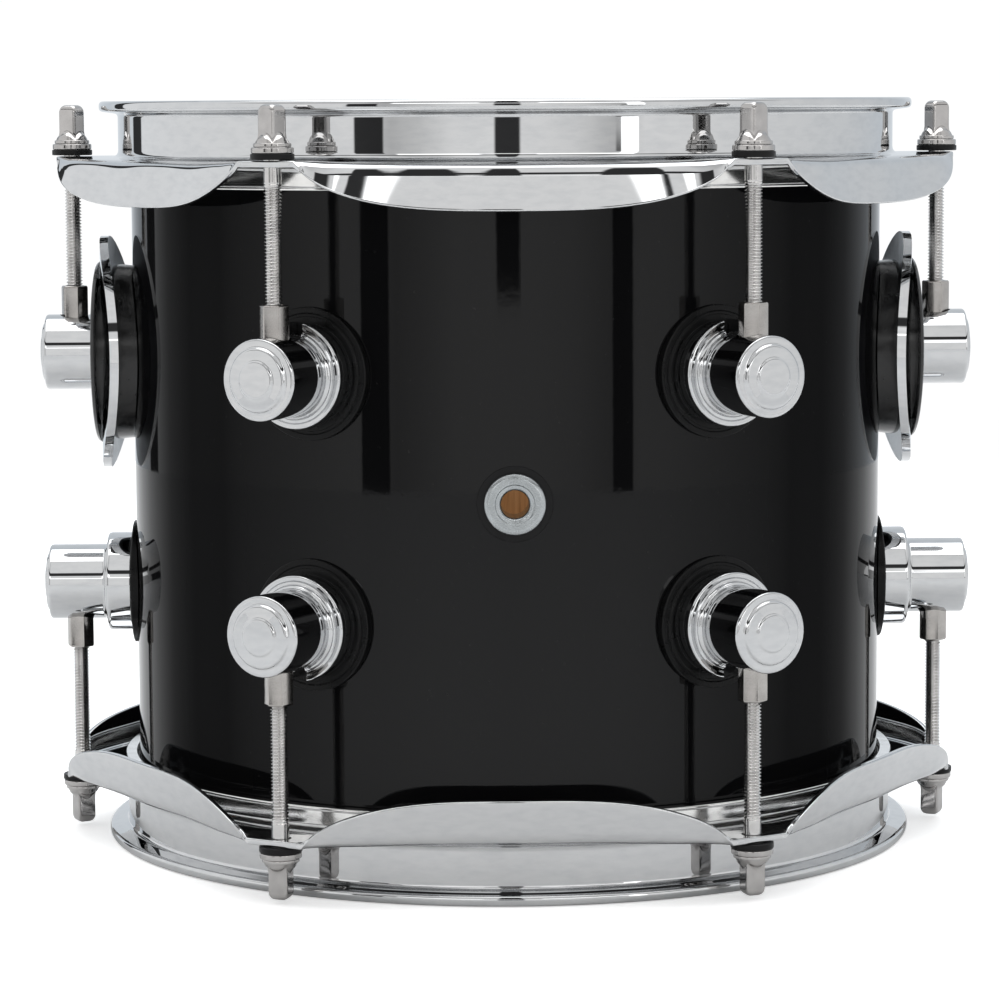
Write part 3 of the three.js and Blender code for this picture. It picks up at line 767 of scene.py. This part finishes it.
# ---- floor, sky and lights ----
def floor_mesh():
    paper, g, shader = material("white_paper", (0.82, 0.82, 0.82), 0.6)
    drive(g, shader, Base_Color=g.mix(g.noise(40, 3), (0.81, 0.81, 0.81, 1), (0.83, 0.83, 0.83, 1)))
    seen_by_camera = g.node("ShaderNodeLightPath").outputs["Is Camera Ray"]
    drive(g, shader, Emission_Strength=g.math("MULTIPLY", seen_by_camera, 0.5))
    shader.inputs["Emission Color"].default_value = (1, 1, 1, 1)
    return turned("floor", [(1300, FLOOR_HEIGHT - 2), (1300, FLOOR_HEIGHT)], [paper], 128, closed=False)


floor = bpy.data.objects.new("floor", floor_mesh())
floor.matrix_world = Matrix.Translation((0, 0, -0.0002))
bpy.context.scene.collection.objects.link(floor)


def studio_sky():
    """White walls of a studio, with a slit for the camera and dark gaps beside the front panels."""
    world = bpy.data.worlds.new("studio")
    world.use_nodes = True
    bpy.context.scene.world = world
    g = Graph(world.node_tree)
    direction = g.node("ShaderNodeTexCoord").outputs["Generated"]
    parts = g.node("ShaderNodeSeparateXYZ", {0: direction}).outputs
    turn = g.math("ARCTAN2", parts[0], g.math("MULTIPLY", parts[1], -1.0))
    azimuth = g.math("MULTIPLY", turn, 180 / math.pi)
    elevation = g.math("MULTIPLY", g.math("ARCSINE", parts[2]), 180 / math.pi)
    share = g.remap(azimuth, -180, 180)

    def grey(degrees, level, blue=0.0):
        return (degrees + 180) / 360, (level * (1 - blue), level * (1 - blue / 2), level, 1)

    walls = g.ramp(share, [
        grey(-180, 0.85, 0.1), grey(-150, 0.8, 0.14), grey(-134, 1.0, 0.03), grey(-60, 1.0),
        grey(-46, 1.0), grey(-34, 0.62), grey(-26, 0.76), grey(-16, 0.98), grey(-6, 1.0), grey(8, 0.98),
        grey(19, 0.9), grey(31, 0.64), grey(39, 1.0), grey(90, 0.9, 0.02), grey(120, 0.84, 0.05),
        grey(145, 0.76, 0.12), grey(180, 0.85, 0.1),
    ])
    patches = (                        # left, right, side blur, low, high, end blur, in degrees
        (-3.6, 2.6, 1.0, -2.8, 11.8, 0.5),
        (-3.6, 2.6, 1.0, 16.2, 60, 0.5),
        (-44.5, -36.5, 0.8, -8, 13, 0.8),
        (31, 36.5, 0.8, -8, -1, 0.8),
        (-70, 70, 25.0, 24, 31, 2.0),
        (-142.5, -136, 1.0, -30, 40, 1.0),
    )
    dark = 0.0
    for left, right, side_blur, low, high, end_blur in patches:
        across, up = g.within(azimuth, left, right, side_blur), g.within(elevation, low, high, end_blur)
        dark = g.math("MAXIMUM", dark, g.math("MULTIPLY", across, up))
    level = g.math("SUBTRACT", 1.0, g.math("MULTIPLY", dark, 0.97))
    gapped = g.mix(level, (0.012, 0.012, 0.013, 1), walls)
    beside = g.math("ABSOLUTE", azimuth)
    strip = g.math("MULTIPLY", g.within(azimuth, 32.5, 37, 0.6), g.within(elevation, -0.9, 22, 0.5))
    panel = g.math("MULTIPLY", g.within(beside, 9, 32, 1.5), g.within(elevation, 14.4, 21, 0.6))
    glint = g.math("MULTIPLY", g.within(beside, 0, 10, 1.0), g.within(elevation, 14.3, 15.6, 0.3))
    lit = g.math("MAXIMUM", strip, g.math("MAXIMUM", panel, glint))
    seen = g.mix(lit, gapped, (2.6, 2.6, 2.6, 1))
    seen_by_camera = g.node("ShaderNodeLightPath").outputs["Is Camera Ray"]
    colour = g.mix(seen_by_camera, seen, (1.02, 1.02, 1.02, 1))
    background = g.node("ShaderNodeBackground", {0: colour, 1: 1.0})
    output = g.tree.nodes.get("World Output") or g.node("ShaderNodeOutputWorld")
    g.tree.links.new(background.outputs[0], output.inputs[0])


def area_light(name, size, power, azimuth, elevation, distance, target=(0, 0, 0.11)):
    light = bpy.data.objects.new(name, bpy.data.lights.new(name, "AREA"))
    light.data.shape = "RECTANGLE"
    light.data.size, light.data.size_y = size
    light.data.energy = power
    a, e = math.radians(azimuth), math.radians(elevation)
    back = Vector((math.sin(a) * math.cos(e), -math.cos(a) * math.cos(e), math.sin(e)))
    light.location = Vector(target) + back * distance
    light.rotation_euler = back.to_track_quat("Z", "Y").to_euler()
    bpy.context.scene.collection.objects.link(light)
    return light


studio_sky()
area_light("overhead_softbox", (1.6, 1.6), 18, 180, 82, 1.6)
inner_glow = area_light("inner_glow", (0.12, 0.12), 0.1, 0, 90, 0.095)
inner_glow.visible_camera = inner_glow.visible_glossy = False

bpy.context.scene.view_settings.view_transform = "Standard"
